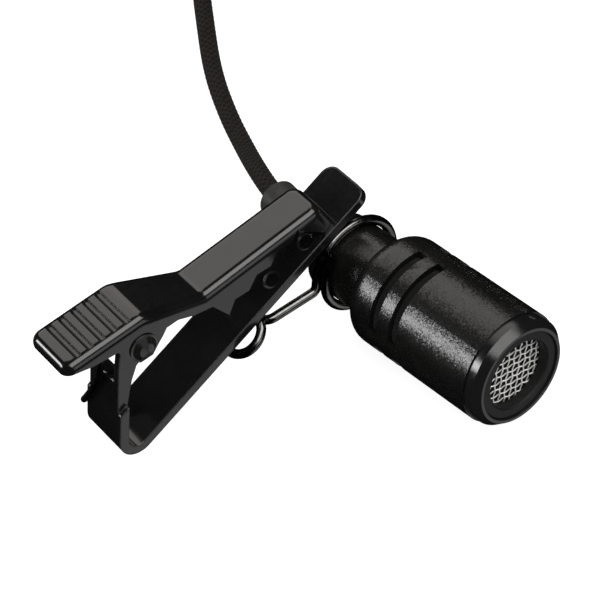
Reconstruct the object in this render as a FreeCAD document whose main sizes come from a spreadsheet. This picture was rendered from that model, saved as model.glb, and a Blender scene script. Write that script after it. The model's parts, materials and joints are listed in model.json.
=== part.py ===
"""Lavalier microphone on a wire holder and a sprung jaw clip, with its cable, put-away coil and jack plug.

Row frame: origin on the microphone's axis, half-way along the slotted barrel. -Y is the way the microphone
points, +X runs towards the jaws' front and +Z is up. The barrel lies on the ground, one barrel radius below
the origin. Microphone parts are drawn along +Z from the holder ring's plane, and clip parts with x = 0 at the
plate's front edge, y = 0 on its middle and z = 0 on its top face. Placements carry both into the row frame.
"""

import FreeCAD, Part
import math
import os
import re

import Sketcher
from FreeCAD import Placement, Rotation, Vector

DIMENSIONS = [
    # the microphone: radii, and stations measured forward from the holder ring's plane
    ("barrel_radius", 5.66),
    ("barrel_wall", 0.6),
    ("barrel_rear", 3.6),
    ("barrel_front", 19.95),
    ("barrel_rear_wall", 1.0),
    ("barrel_shoulder", 1.8),
    ("slot_width", 1.1),
    ("slot_angle", 100),
    ("slot_direction", 122.75),
    ("slot_rear_station", 7.85),
    ("slot_front_station", 10.4),
    ("bezel_radius", 5.48),
    ("bezel_bore", 4.5),
    ("bezel_skirt_radius", 4.95),
    ("bezel_skirt_rear", 18.0),
    ("bezel_chamfer_station", 20.85),
    ("face_station", 21.6),
    ("face_radius", 4.9),
    ("grille_ring_opening", 3.5),
    ("grille_ring_front", 21.4),
    ("mesh_front", 20.3),
    ("mesh_thickness", 0.2),
    ("disc_radius", 4.45),
    ("capsule_radius", 4.85),
    ("capsule_length", 4.5),
    ("capsule_lip", 0.5),
    ("gasket_bore", 3.6),
    ("gasket_thickness", 0.6),
    ("board_radius", 3.4),
    ("solder_radius", 0.6),
    ("lead_spread", 1.2),
    ("screen_outer", 4.95),
    ("screen_wall", 0.2),
    ("neck_radius", 3.93),
    ("neck_rear", -4.6),
    ("neck_chamfer", 1.35),
    ("neck_end_wall", 1.0),
    ("neck_bore", 2.9),
    ("spigot_radius", 3.0),
    ("spigot_front", 5.6),
    ("spigot_bore", 2.2),
    ("nut_radius", 4.6),
    ("nut_length", 1.2),
    ("clamp_radius", 1.9),
    ("clamp_rear", -2.3),
    ("clamp_front", 0.3),
    ("boot_radius", 2.0),
    ("boot_flange", 2.7),
    ("boot_flange_length", 1.0),
    ("boot_bend_station", -8.1),
    ("boot_end_radius", 1.2),
    # the clip, cut and bent from two sheets
    ("plate_width", 5.62),
    ("plate_thickness", 0.95),
    ("plate_corner_radius", 1.3),
    ("outer_corner", -35.16),
    ("leg_angle", 52),
    ("bend_outer_radius", 2.0),
    ("leg_wide_top", 4.9),
    ("leg_top", 7.6),
    ("leg_upper_width", 4.7),
    ("ear_thickness", 0.75),
    ("ear_outer", 2.35),
    ("ear_radius", 1.9),
    ("pin_x", -24.15),
    ("pin_z", 9.8),
    ("pin_radius", 0.8),
    ("pin_hole_radius", 0.86),
    ("pin_head_radius", 1.25),
    ("pin_flange_radius", 1.45),
    ("jaw_sheet", 0.75),
    ("pad_width", 6.44),
    ("channel_rear_width", 4.9),
    ("channel_front_width", 4.7),
    ("jaw_nose_x", -3.95),
    ("jaw_nose_z", 2.85),
    ("channel_slope", 0.32),
    ("channel_rear_x", -17.1),
    ("pad_front_x", -22.2),
    ("pad_front_z", 12.5),
    ("pad_slope", 0.384),
    ("pad_end_x", -30.7),
    ("jaw_edge_radius", 0.95),
    ("jaw_nose_radius", 1.3),
    ("pad_corner_radius", 1.2),
    ("side_bend_radius", 3),
    ("channel_fold_radius", 1.2),
    ("pad_fold_radius", 2),
    ("jaw_ear_radius", 1.75),
    ("groove_pitch", 1.26),
    ("groove_depth", 0.22),
    ("tunnel_rear", -12.0),
    ("tunnel_front", -7.25),
    ("tunnel_y", -1.27),
    ("tunnel_z", -1.5),
    ("tunnel_length", 1.4),
    ("tunnel_outer", 0.8),
    # the holder wire and the torsion spring
    ("wire_radius", 0.475),
    ("eye_x", -17.55),
    ("eye_y", -1.6),
    ("eye_radius", 2.07),
    ("ring_radius", 4.45),
    ("ring_x", -5.3),
    ("ring_y", -3.51),
    ("ring_z", -6.15),
    ("spring_wire_radius", 0.33),
    ("spring_radius", 1.35),
    # how the clip sits on the microphone
    ("ring_station", 12.0),
    ("clip_yaw", 4.7),
    ("clip_pitch", 23.55),
    # the cable, its coil and the plug
    ("cable_radius", 1.0),
    ("coil_x", 38.0),
    ("coil_y", 62.2),
    ("coil_middle_radius", 11.5),
    ("coil_breadth", 8.0),
    ("coil_edge_radius", 2.2),
    ("tie_width", 5.0),
    ("tie_thickness", 0.7),
    ("plug_line", 19.5),
    ("plug_start", 4.8),
    ("plug_relief_length", 8.0),
    ("plug_handle_radius", 3.6),
    ("plug_handle_length", 17.0),
    ("plug_pin_radius", 1.75),
]

# The cable's route outside the boot: x, y and the height above the ground
CABLE_ROUTE = [
    (0.95, 26.2, 5.55),
    (2.7, 31.0, 4.5),
    (5.2, 36.4, 2.0),
    (8.0, 43.0, 1.02),
    (11.4, 49.8, 1.02),
    (16.2, 56.9, 1.02),
    (20.6, 63.2, 1.02),
    (26.4, 70.9, 1.02),
]

# The cable from the coil to the plug: along the plug's line, out from the coil's middle, and up
TAIL_ROUTE = [
    (-14.44, 1.26, 3.02),
    (-13.75, 9.2, 1.9),
    (-11.1, 14.6, 1.1),
    (-6.6, 18.2, 1.9),
    (-1.0, 19.5, 3.6),
    (4.8, 19.5, 3.6),
]

document = FreeCAD.newDocument("lavalier_microphone")
sheet = document.addObject("Spreadsheet::Sheet", "Dims")
for row_number, (alias, value) in enumerate(DIMENSIONS, start=1):
    sheet.set(f"A{row_number}", alias.replace("_", " "))
    sheet.set(f"B{row_number}", str(value))
    sheet.setAlias(f"B{row_number}", alias)
document.recompute()

ALIASES = [alias for alias, value in DIMENSIONS]
sub_parts = []


def size(alias):
    """The number that the sheet holds under this alias."""
    return float(sheet.get(alias))


def bound(words):
    """An expression in which every alias is read from the sheet."""
    return re.sub(r"[a-z_]+", lambda word: "Dims." + word.group() if word.group() in ALIASES else word.group(), str(words))


def named(item, label):
    """Gives a finished sub-part its label and keeps it for the checks and the export."""
    item.Label = label
    sub_parts.append(item)
    return item


# ---------------------------------------------------------------- sketches and features

def origin_plane(body, role):
    return next(item for item in body.Origin.OriginFeatures if item.Role == role)


def outline(body, name, role, vertices, lift="0"):
    """A closed outline on one of the body's own planes, with each vertex bound to the sheet."""
    sketch = body.newObject("Sketcher::SketchObject", name)
    sketch.AttachmentSupport = [(origin_plane(body, role), "")]
    sketch.MapMode = "FlatFace"
    sketch.setExpression("AttachmentOffset.Base.z", bound(lift))
    count = len(vertices)
    turn = 2 * math.pi / count
    rough = [Vector(math.cos(turn * i), math.sin(turn * i), 0) for i in range(count)]
    for i in range(count):
        sketch.addGeometry(Part.LineSegment(rough[i], rough[(i + 1) % count]), False)
    for i in range(count):
        sketch.addConstraint(Sketcher.Constraint("Coincident", i, 2, (i + 1) % count, 1))
    for i, (across, along) in enumerate(vertices):
        for kind, words, rough_value in (("DistanceX", across, rough[i].x), ("DistanceY", along, rough[i].y)):
            index = sketch.addConstraint(Sketcher.Constraint(kind, -1, 1, i, 1, rough_value))
            sketch.setExpression(f"Constraints[{index}]", bound(words))
    return sketch


def disc(body, name, role, across, along, radius, lift="0"):
    """A circle on one of the body's own planes, with its centre and radius bound to the sheet."""
    sketch = body.newObject("Sketcher::SketchObject", name)
    sketch.AttachmentSupport = [(origin_plane(body, role), "")]
    sketch.MapMode = "FlatFace"
    sketch.setExpression("AttachmentOffset.Base.z", bound(lift))
    sketch.addGeometry(Part.Circle(Vector(1, 1, 0), Vector(0, 0, 1), 1), False)
    for constraint, words in (
        (Sketcher.Constraint("DistanceX", -1, 1, 0, 3, 1), across),
        (Sketcher.Constraint("DistanceY", -1, 1, 0, 3, 1), along),
        (Sketcher.Constraint("Radius", 0, 1), radius),
    ):
        index = sketch.addConstraint(constraint)
        sketch.setExpression(f"Constraints[{index}]", bound(words))
    return sketch


def new_body(label):
    return named(document.addObject("PartDesign::Body", label), label)


def feature(body, kind, sketch, name, **bindings):
    """A Pad, Pocket, Revolution or Groove on a sketch, with its sizes bound to the sheet."""
    item = body.newObject(f"PartDesign::{kind}", name)
    item.Profile = sketch
    if kind in ("Revolution", "Groove"):
        item.ReferenceAxis = (sketch, ["V_Axis"])
    else:
        item.Midplane = True
    for key, words in bindings.items():
        item.setExpression(key, bound(words))
    sketch.Visibility = False
    return item


def edges_where(item, test):
    """The names of the item's edges whose end points, or middle for a closed edge, all pass the test."""
    document.recompute()
    found = []
    for i, edge in enumerate(item.Shape.Edges, start=1):
        points = [vertex.Point for vertex in edge.Vertexes] + [edge.CenterOfMass]
        if all(test(point) for point in points):
            found.append(f"Edge{i}")
    return found


def face_normal(face):
    low_u, high_u, low_v, high_v = face.ParameterRange
    return face.normalAt((low_u + high_u) / 2, (low_v + high_v) / 2)


def edges_between_faces(item, one_side, other_side, where=lambda point: True):
    """The names of the edges whose two faces' normals pass one test each."""
    document.recompute()
    shape = item.Shape
    found = []
    for i, edge in enumerate(shape.Edges, start=1):
        faces = shape.ancestorsOfType(edge, Part.Face)
        if len(faces) != 2 or not where(edge.CenterOfMass):
            continue
        first, second = face_normal(faces[0]), face_normal(faces[1])
        if (one_side(first) and other_side(second)) or (one_side(second) and other_side(first)):
            found.append(f"Edge{i}")
    return found


def faces_where(item, test):
    document.recompute()
    return [f"Face{i}" for i, face in enumerate(item.Shape.Faces, start=1) if test(face)]


def dressed(body, kind, base, edges, name, words):
    """A Fillet or Chamfer over the named edges."""
    item = body.newObject(f"PartDesign::{kind}", name)
    item.Base = (base, edges)
    item.setExpression("Radius" if kind == "Fillet" else "Size", bound(words))
    return item


def turned(label, vertices):
    """A body turned about its own z axis from an outline of (radius, station) vertices."""
    body = new_body(label)
    sketch = outline(body, label + "_outline", "XZ_Plane", vertices)
    feature(body, "Revolution", sketch, label + "_turn", Angle="360")
    return body


def sleeve_outline(bore, outer, rear, front):
    return [(bore, rear), (outer, rear), (outer, front), (bore, front)]


# ---------------------------------------------------------------- wires and cords

def rounded_path(points, share=0.45, least_radius=None):
    """Straight runs joined by tangent arcs, each as large as its two runs allow."""
    points = [Vector(*point) for point in points]
    edges = []
    radii = []
    start = points[0]
    for before, corner, after in zip(points, points[1:], points[2:]):
        run_in = corner - before
        run_out = after - corner
        half_turn = run_in.getAngle(run_out) / 2
        shorter = min(run_in.Length, run_out.Length)
        trim = share * shorter
        radius = trim / math.tan(half_turn)
        way_in = Vector(run_in).normalize()
        way_out = Vector(run_out).normalize()
        arc_start = corner - way_in * trim
        arc_end = corner + way_out * trim
        bisector = (way_out - way_in).normalize()
        middle = corner + bisector * (radius / math.cos(half_turn) - radius)
        edges.append(Part.LineSegment(start, arc_start).toShape())
        edges.append(Part.Arc(arc_start, middle, arc_end).toShape())
        radii.append(radius)
        start = arc_end
    edges.append(Part.LineSegment(start, points[-1]).toShape())
    return Part.Wire(edges), radii


def swept(path, radius):
    """A round bar along a path, with its volume compared with its section times its length."""
    first = path.Edges[0]
    start = first.Vertexes[0].Point
    way = first.tangentAt(first.FirstParameter)
    ring = Part.Wire(Part.Circle(start, way, radius).toShape())
    bar = path.makePipeShell([ring], True, False)
    expected = math.pi * radius**2 * path.Length
    if not bar.isValid() or abs(bar.Volume - expected) > 0.01 * expected:
        raise RuntimeError(f"the sweep has volume {bar.Volume:.1f}, not {expected:.1f}")
    return bar


def shaped(label, shape, placement=None):
    """A sub-part whose shape is worked out here, placed after its shape is set."""
    item = document.addObject("Part::Feature", label)
    item.Shape = shape
    if placement is not None:
        item.Placement = placement
    return named(item, label)


# ---------------------------------------------------------------- placements

ring_base = Vector(0, size("ring_station"), 0)
microphone_place = Placement(ring_base, Rotation(Vector(1, 0, 0), 90))
slots_place = microphone_place.multiply(Placement(Vector(), Rotation(Vector(0, 0, 1), size("slot_direction"))))
clip_turn = Rotation(Vector(0, 1, 0), -size("clip_pitch")).multiply(Rotation(Vector(0, 0, 1), -size("clip_yaw")))
ring_centre = Vector(size("ring_x"), size("ring_y"), size("ring_z"))
clip_place = Placement(ring_base - clip_turn.multVec(ring_centre), clip_turn)
coil_centre = Vector(size("coil_x"), size("coil_y"), 0)
plug_way = Vector(0, -1, 0)
plug_side = Vector(1, 0, 0)
ground = -size("barrel_radius")


# ---------------------------------------------------------------- the microphone

def make_barrel():
    body = turned("head_barrel", [
        ("spigot_radius + 0.05", "barrel_rear"),
        ("barrel_radius", "barrel_rear"),
        ("barrel_radius", "barrel_front"),
        ("barrel_radius - barrel_wall", "barrel_front"),
        ("barrel_radius - barrel_wall", "barrel_rear + barrel_rear_wall"),
        ("spigot_radius + 0.05", "barrel_rear + barrel_rear_wall"),
    ])
    rim = edges_where(body.Tip, lambda p: p.z < size("barrel_rear") + 0.01 and
                      abs(math.hypot(p.x, p.y) - size("barrel_radius")) < 0.01 or
                      math.hypot(p.x, p.y) < 0.01 and abs(p.z - size("barrel_rear")) < 0.01)
    outer = [name for name in rim if body.Tip.Shape.getElement(name).BoundBox.XLength > 2 * size("barrel_radius") - 0.1]
    dressed(body, "Fillet", body.Tip, outer, "shoulder", "barrel_shoulder")
    cuts = []
    for place in ("rear", "front"):
        middle = f"slot_{place}_station"
        sketch = outline(body, f"slot_{place}_outline", "XZ_Plane", sleeve_outline(
            "barrel_radius - barrel_wall - 0.2", "barrel_radius + 0.5",
            middle + " - slot_width / 2", middle + " + slot_width / 2"))
        cut = feature(body, "Groove", sketch, f"slot_{place}", Angle="slot_angle")
        cut.Midplane = True
        cuts.append(cut)
    pattern = body.newObject("PartDesign::PolarPattern", "slot_sets")
    pattern.Originals = cuts
    pattern.Axis = (cuts[0].Profile[0], ["V_Axis"])
    pattern.Angle = 360
    pattern.Occurrences = 3
    body.Tip = pattern
    body.Placement = slots_place


def make_front():
    turned("front_bezel", [
        ("bezel_bore", "bezel_skirt_rear"),
        ("bezel_skirt_radius", "bezel_skirt_rear"),
        ("bezel_skirt_radius", "barrel_front"),
        ("bezel_radius", "barrel_front"),
        ("bezel_radius", "bezel_chamfer_station"),
        ("face_radius", "face_station"),
        ("bezel_bore + 0.1", "face_station"),
        ("bezel_bore", "face_station - 0.1"),
    ])
    turned("grille_ring", [
        ("grille_ring_opening", "mesh_front"),
        ("disc_radius", "mesh_front"),
        ("disc_radius", "grille_ring_front"),
        ("grille_ring_opening + 0.15", "grille_ring_front"),
        ("grille_ring_opening", "grille_ring_front - 0.15"),
    ])
    turned("mesh_grille", sleeve_outline("0", "disc_radius", "mesh_front - mesh_thickness", "mesh_front"))
    turned("wind_foam", sleeve_outline("0", "disc_radius - 0.05", "bezel_skirt_rear", "mesh_front - mesh_thickness"))


def make_capsule():
    rear = "bezel_skirt_rear - capsule_length"
    turned("capsule_can", [
        ("0", rear + " + 0.3"),
        ("board_radius + 0.4", rear + " + 0.3"),
        ("board_radius + 0.4", rear),
        ("capsule_radius", rear),
        ("capsule_radius", "bezel_skirt_rear - 0.3"),
        ("capsule_radius - 0.3", "bezel_skirt_rear"),
        ("0", "bezel_skirt_rear"),
    ])
    turned("capsule_board", sleeve_outline("0", "board_radius", rear + " - 0.3", rear + " + 0.3"))
    turned("capsule_gasket", sleeve_outline(
        "gasket_bore", "capsule_radius", rear + " - gasket_thickness", rear))
    turned("port_screen", sleeve_outline(
        "screen_outer - screen_wall", "screen_outer", "spigot_front - 0.1", rear + " - gasket_thickness"))


def make_leads():
    """Two enamelled wires from the cable's cores to the capsule's board, and their two solder domes."""
    board_rear = size("bezel_skirt_rear") - size("capsule_length") - 0.3
    spread = size("lead_spread")
    domes = []
    wires = []
    for side in (-1, 1):
        dome = Part.makeSphere(size("solder_radius"), Vector(side * spread, 0, board_rear))
        below = Part.makeBox(2, 2, 1, Vector(side * spread - 1, -1, board_rear - 1))
        domes.append(dome.common(below))
        path, radii = rounded_path([
            (side * 0.45, 0, size("clamp_front") + 0.2),
            (side * 0.5, 0.1, 4.0),
            (side * 1.2, -0.2, 8.0),
            (side * spread, 0, board_rear - size("solder_radius")),
        ])
        wires.append(swept(path, 0.25))
    shaped("solder_joints", Part.makeCompound(domes), microphone_place)
    shaped("capsule_leads", Part.makeCompound(wires), microphone_place)


def make_neck():
    turned("neck_body", [
        ("boot_radius + 0.05", "neck_rear"),
        ("neck_radius - neck_chamfer", "neck_rear"),
        ("neck_radius", "neck_rear + neck_chamfer"),
        ("neck_radius", "barrel_rear"),
        ("spigot_radius", "barrel_rear"),
        ("spigot_radius", "spigot_front"),
        ("spigot_bore", "spigot_front"),
        ("spigot_bore", "barrel_rear - 0.8"),
        ("neck_bore", "barrel_rear - 1.6"),
        ("neck_bore", "neck_rear + neck_end_wall"),
        ("boot_radius + 0.05", "neck_rear + neck_end_wall"),
    ])
    turned("neck_nut", sleeve_outline(
        "spigot_radius + 0.02", "nut_radius", "barrel_rear + barrel_rear_wall",
        "barrel_rear + barrel_rear_wall + nut_length"))
    turned("cable_clamp", sleeve_outline("cable_radius + 0.02", "clamp_radius", "clamp_rear", "clamp_front"))


def cable_points():
    """The cable's corners in the row frame: inside the neck and the boot, and then outside."""
    clamp = ring_base.y - size("clamp_front")
    bend = ring_base.y - size("boot_bend_station")
    return [(0, clamp, 0), (0, bend, 0)] + [(x, y, ground + height) for x, y, height in CABLE_ROUTE]


def make_boot():
    """A rubber boot, held by a flange inside the neck and leaning the way the cable goes."""
    start, end = [Vector(*point) for point in cable_points()[1:3]]
    way = (end - start).normalize()
    neck_end = ring_base.y - size("neck_rear")
    flange_start = neck_end - size("neck_end_wall") - size("boot_flange_length")
    back = Vector(0, 1, 0)
    flange = Part.makeCylinder(size("boot_flange"), size("boot_flange_length"), Vector(0, flange_start, 0), back)
    root = Part.makeCylinder(size("boot_radius"), start.y - flange_start, Vector(0, flange_start, 0), back)
    ball = Part.makeSphere(size("boot_radius"), start)
    length = (end - start).Length
    round_off = size("boot_radius") - size("boot_end_radius")
    straight = Part.makeCylinder(size("boot_radius"), length - round_off, start, way)
    shoulder = Part.makeCone(size("boot_radius"), size("boot_end_radius"), round_off,
                             start + way * (length - round_off), way)
    boot = flange.fuse([root, ball, straight, shoulder]).removeSplitter()
    bore_path, radii = rounded_path(cable_points()[:5])
    boot = boot.cut(swept(bore_path, size("cable_radius") + 0.05))
    shaped("strain_relief", boot)


# ---------------------------------------------------------------- the clip

def leg_x(height, inset="0"):
    """The x of the leg's outer face at a height, moved in by an inset square to the face."""
    slope = f"(({height}) + plate_thickness) / tan(leg_angle * 1 deg)"
    return f"outer_corner + {slope} + ({inset}) / sin(leg_angle * 1 deg)"


def make_clip_base():
    body = new_body("clip_base")
    sheet_outline = outline(body, "strip_outline", "XZ_Plane", [
        ("0", "0"),
        (leg_x("0", "plate_thickness"), "0"),
        (leg_x("leg_wide_top", "plate_thickness"), "leg_wide_top"),
        (leg_x("leg_wide_top"), "leg_wide_top"),
        ("outer_corner", "-plate_thickness"),
        ("0", "-plate_thickness"),
    ])
    strip = feature(body, "Pad", sheet_outline, "strip", Length="plate_width")
    upper = outline(body, "leg_upper_outline", "XZ_Plane", [
        (leg_x("leg_wide_top - 0.6"), "leg_wide_top - 0.6"),
        (leg_x("leg_wide_top - 0.6", "plate_thickness"), "leg_wide_top - 0.6"),
        (leg_x("leg_top", "plate_thickness"), "leg_top"),
        (leg_x("leg_top"), "leg_top"),
    ])
    feature(body, "Pad", upper, "leg_upper", Length="leg_upper_width")
    for side, lift in (("near", "ear_outer - ear_thickness / 2"), ("far", "-ear_outer + ear_thickness / 2")):
        web = outline(body, f"ear_{side}_outline", "XZ_Plane", [
            (leg_x("leg_wide_top + 0.3"), "leg_wide_top + 0.3"),
            (leg_x("leg_top + 1.4"), "leg_top + 1.4"),
            ("pin_x - 0.66 * ear_radius", "pin_z + 0.75 * ear_radius"),
            ("pin_x", "pin_z"),
            ("pin_x", "pin_z - ear_radius"),
            ("pin_x - 1.8", "pin_z - ear_radius - 0.2"),
            ("pin_x - 3.1", "pin_z - ear_radius - 1.1"),
            (leg_x("leg_wide_top", "plate_thickness"), "leg_wide_top - 0.1"),
        ], lift)
        feature(body, "Pad", web, f"ear_{side}", Length="ear_thickness")
        eye = disc(body, f"ear_{side}_eye_outline", "XZ_Plane", "pin_x", "pin_z", "ear_radius", lift)
        feature(body, "Pad", eye, f"ear_{side}_eye", Length="ear_thickness")
    for place in ("rear", "front"):
        strap = disc(body, f"strap_{place}_outline", "YZ_Plane", "tunnel_y", "tunnel_z", "tunnel_outer",
                     f"tunnel_{place}")
        feature(body, "Pad", strap, f"strap_{place}", Length="tunnel_length")
    for place in ("rear", "front"):
        tunnel = disc(body, f"tunnel_{place}_outline", "YZ_Plane", "tunnel_y", "tunnel_z", "wire_radius + 0.06",
                      f"tunnel_{place}")
        feature(body, "Pocket", tunnel, f"tunnel_{place}", Length="tunnel_length + 0.4")
        dimple = disc(body, f"dimple_{place}_outline", "XY_Plane", f"tunnel_{place}", "tunnel_y", "tunnel_outer")
        feature(body, "Pocket", dimple, f"dimple_{place}", Length="0.5")
    hole = disc(body, "pin_hole_outline", "XZ_Plane", "pin_x", "pin_z", "pin_radius + 0.01")
    pierced = feature(body, "Pocket", hole, "pin_hole", Length="plate_width")
    half = size("plate_width") / 2
    thick = size("plate_thickness")
    corner = size("outer_corner")
    bend = edges_where(pierced, lambda p: abs(p.x - corner) < 0.01 and abs(p.z + thick) < 0.01)
    bent = dressed(body, "Fillet", pierced, bend, "outer_bend", "bend_outer_radius")
    inner_x = corner + thick * (1 / math.tan(math.radians(size("leg_angle"))) + 1 / math.sin(math.radians(size("leg_angle"))))
    fold = edges_where(bent, lambda p: abs(p.x - inner_x) < 0.02 and abs(p.z) < 0.01)
    folded = dressed(body, "Fillet", bent, fold, "inner_bend", "bend_outer_radius - plate_thickness")
    corners = edges_where(folded, lambda p: abs(p.x) < 0.01 and abs(abs(p.y) - half) < 0.01)
    dressed(body, "Fillet", folded, corners, "front_corners", "plate_corner_radius")
    body.Placement = clip_place


def jaw_line(x):
    """The z of the upper jaw's top line, from its nose, over the channel and the step, to the pad."""
    if x > -17:
        return f"jaw_nose_z + channel_slope * (jaw_nose_x - ({x}))"
    return f"pad_front_z + pad_slope * (pad_front_x - ({x}))"


def make_upper_jaw():
    body = new_body("upper_jaw")
    side = outline(body, "side_outline", "XZ_Plane", [
        ("jaw_nose_x", "-1"),
        ("jaw_nose_x", "jaw_nose_z"),
        ("channel_rear_x", "jaw_nose_z + channel_slope * (jaw_nose_x - channel_rear_x)"),
        ("pad_front_x", "pad_front_z"),
        ("pad_end_x", "pad_front_z + pad_slope * (pad_front_x - pad_end_x)"),
        ("pad_end_x", "-1"),
    ])
    block = feature(body, "Pad", side, "side_block", Length="pad_width")
    for flank, sign in (("near", "-"), ("far", "")):
        trim = outline(body, f"flank_{flank}_outline", "XY_Plane", [
            ("pad_front_x", f"{sign}pad_width / 2"),
            ("channel_rear_x", f"{sign}channel_rear_width / 2"),
            ("jaw_nose_x", f"{sign}channel_front_width / 2"),
            ("jaw_nose_x + 1", f"{sign}channel_front_width / 2"),
            ("jaw_nose_x + 1", f"{sign}pad_width"),
            ("pad_front_x", f"{sign}pad_width"),
        ])
        block = feature(body, "Pocket", trim, f"flank_{flank}", Length="60")
    block = round_folds(body, block)
    block = round_uprights(body, block)
    tops = edges_between_faces(block, lambda normal: normal.z > 0.3, lambda normal: normal.z < 0.3)
    block = dressed(body, "Fillet", block, tops, "pressed_edges", "jaw_edge_radius")
    floor = faces_where(block, lambda face: face.CenterOfMass.z < -0.99)
    shell = body.newObject("PartDesign::Thickness", "pressed_sheet")
    shell.Base = (block, floor)
    shell.Join = 1
    shell.Reversed = True
    shell.setExpression("Value", bound("jaw_sheet"))
    document.recompute()
    trim_jaw(body)
    body.Placement = clip_place


def round_uprights(body, block):
    """Rounds the upright edges: the nose's and the pad's corners, and where the sides widen."""
    for name, x, words in (
        ("nose_corners", "jaw_nose_x", "jaw_nose_radius"),
        ("pad_corners", "pad_end_x", "pad_corner_radius"),
        ("channel_flare", "channel_rear_x", "side_bend_radius"),
        ("pad_flare", "pad_front_x", "side_bend_radius"),
    ):
        at = size(x)
        edges = edges_where(block, lambda p: abs(p.x - at) < 0.01 and abs(p.y) > 1.5)
        block = dressed(body, "Fillet", block, edges, name, words)
    return block


def round_folds(body, block):
    """Rounds the two folds that run across the top."""
    for name, x, words in (
        ("channel_fold", "channel_rear_x", "channel_fold_radius"),
        ("pad_fold", "pad_front_x", "pad_fold_radius"),
    ):
        at = size(x)
        edges = edges_between_faces(block, lambda normal: normal.z > 0.3, lambda normal: normal.z > 0.3,
                                    lambda p: abs(p.x - at) < 0.5)
        block = dressed(body, "Fillet", block, edges, name, words)
    return block


def trim_jaw(body):
    """Cuts the sides to their lower edge, the grip grooves across the pad, and the rivet's holes."""
    teeth = []
    for tip in (-14.1, -11.1, -8.2):
        teeth += [(str(tip - 1.45), "3.5"), (str(tip), "2.8")]
    lower_edge = outline(body, "lower_edge_outline", "XZ_Plane", [
        ("pad_end_x - 1", "14.95"),
        ("-29.7", "14.3"),
        ("-28.2", "13.15"),
        ("pin_x - 1.8", "pin_z + 2.1"),
        ("pin_x - jaw_ear_radius", "pin_z"),
        ("pin_x - 0.71 * jaw_ear_radius", "pin_z - 0.71 * jaw_ear_radius"),
        ("pin_x", "pin_z - jaw_ear_radius"),
        ("pin_x + 0.71 * jaw_ear_radius", "pin_z - 0.71 * jaw_ear_radius"),
        ("-21.5", "9"),
        ("-20.3", "8.3"),
        ("-19.1", "6.8"),
        ("-17.4", "5.3"),
        ("-17", "2.6"),
    ] + teeth + [
        ("-7", "3.3"),
        ("-5.9", "0.9"),
        ("-5.4", "0.06"),
        ("jaw_nose_x + 1", "0.06"),
        ("jaw_nose_x + 1", "-3"),
        ("pad_end_x - 1", "-3"),
    ])
    feature(body, "Pocket", lower_edge, "lower_edge", Length="pad_width + 2")
    grooves = [("pad_end_x + 0.8", jaw_line(-30.1) + " + 1")]
    for i in range(5):
        middle = -28.45 + 1.26 * i
        for shift, depth in ((-0.3, "0"), (-0.08, "groove_depth"), (0.14, "groove_depth"), (0.4, "0")):
            grooves.append((str(round(middle + shift, 2)), f"{jaw_line(middle + shift)} + 0.01 - {depth}"))
    grooves.append(("-22.7", jaw_line(-22.7) + " + 1"))
    ridges = outline(body, "grip_outline", "XZ_Plane", grooves)
    feature(body, "Pocket", ridges, "grip_grooves", Length="pad_width - 2 * jaw_edge_radius + 0.5")
    hole = disc(body, "jaw_pin_hole_outline", "XZ_Plane", "pin_x", "pin_z", "pin_hole_radius")
    feature(body, "Pocket", hole, "jaw_pin_hole", Length="pad_width + 1")


def make_pin():
    """A rivet with a domed head at each end, drawn along its own axis."""
    body = turned("pivot_pin", [
        ("0", "-pad_width / 2 - 0.75"),
        ("pin_head_radius * 0.62", "-pad_width / 2 - 0.62"),
        ("pin_head_radius", "-pad_width / 2 - 0.2"),
        ("pin_flange_radius", "-pad_width / 2 - 0.15"),
        ("pin_flange_radius", "-pad_width / 2 - 0.02"),
        ("pin_radius", "-pad_width / 2 - 0.02"),
        ("pin_radius", "pad_width / 2 + 0.02"),
        ("pin_flange_radius", "pad_width / 2 + 0.02"),
        ("pin_flange_radius", "pad_width / 2 + 0.15"),
        ("pin_head_radius", "pad_width / 2 + 0.2"),
        ("pin_head_radius * 0.62", "pad_width / 2 + 0.62"),
        ("0", "pad_width / 2 + 0.75"),
    ])
    pin_place = Placement(Vector(size("pin_x"), 0, size("pin_z")), Rotation(Vector(1, 0, 0), -90))
    body.Placement = clip_place.multiply(pin_place)


def coil_points(centre, radius, start, end, count, place):
    """Corners of a round or helical stretch, whose straight runs touch the true circle half-way."""
    step = (end - start) / count
    corner_radius = radius / math.cos(math.radians(step) / 2)
    return [place(centre, corner_radius, start + step * (i + 0.5)) for i in range(count)]


def make_spring():
    """The torsion spring: one leg over the base's leg, hooked on its edge, the other up under the pad."""
    radius = size("spring_radius")
    pin = Vector(size("pin_x"), 0, size("pin_z"))
    first, last = -143.0, 810.0

    def place(centre, corner_radius, angle):
        across = 1.0 - 2.1 * (angle - first) / (last - first)
        turn = math.radians(angle)
        return (centre.x + corner_radius * math.cos(turn), across, centre.z + corner_radius * math.sin(turn))

    turns = coil_points(pin, radius, first, last, 32, place)
    under_pad = (pin.x - 4.65, 1.05, pin.z + 3.95)
    over_leg = [
        (pin.x - 3.0, -1.15, pin.z + 1.2),
        (-29.45, 0.35, 6.95),
        (-31.9, 2.75, 3.85),
        (-31.95, 3.25, 3.3),
        (-31.0, 3.3, 3.1),
    ]
    path, radii = rounded_path([under_pad] + turns + over_leg, 0.49)
    shaped("jaw_spring", swept(path, size("spring_wire_radius")), clip_place)


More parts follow.
